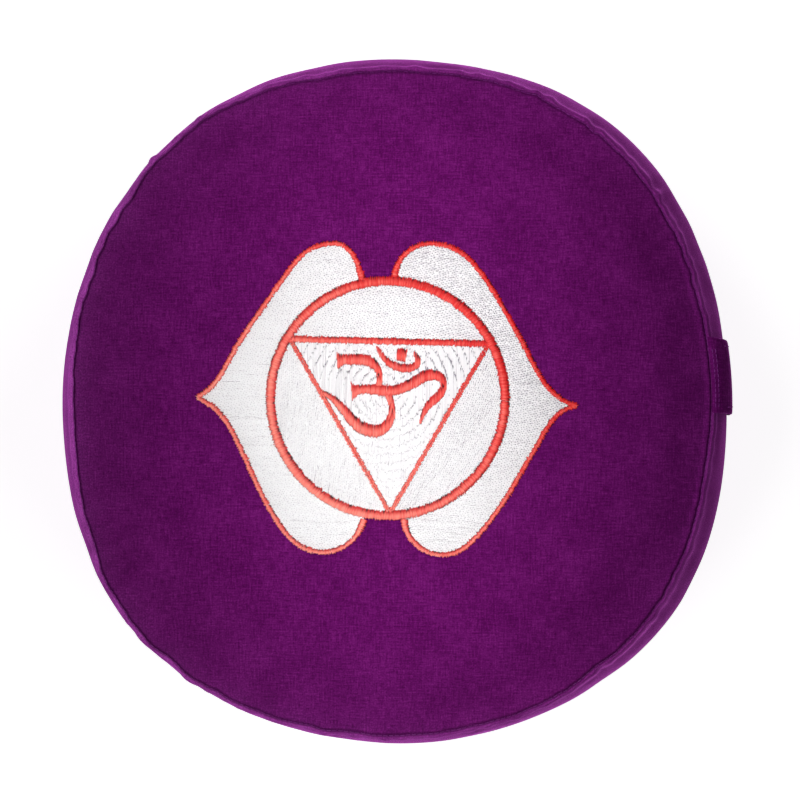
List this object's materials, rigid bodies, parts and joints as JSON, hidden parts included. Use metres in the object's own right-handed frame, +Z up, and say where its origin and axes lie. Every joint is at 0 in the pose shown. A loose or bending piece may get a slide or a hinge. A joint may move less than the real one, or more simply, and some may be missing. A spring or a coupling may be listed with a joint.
{
  "type": "zafu meditation cushion",
  "caption": "Round, filled floor cushion for seated meditation: crowned top panel with embroidered emblem, bulging side band and a carry strap sewn into both seams.",
  "frame": {"origin": "middle of the underside of the whole object's box, on the surface the cushion rests on", "axes": "+Z up through the crown; +X towards the side with the carry strap; +Y towards the top of the embroidered emblem"},
  "size_m": [0.364, 0.371, 0.15],
  "materials": {
    "purple_cotton": "matt plain-weave cotton with fine slubs",
    "white_thread": "soft sheen embroidery thread",
    "red_thread": "soft sheen embroidery thread"
  },
  "bodies": {
    "root": {"cushion": "purple_cotton", "carry_strap": "purple_cotton"}
  },
  "joints": []
}
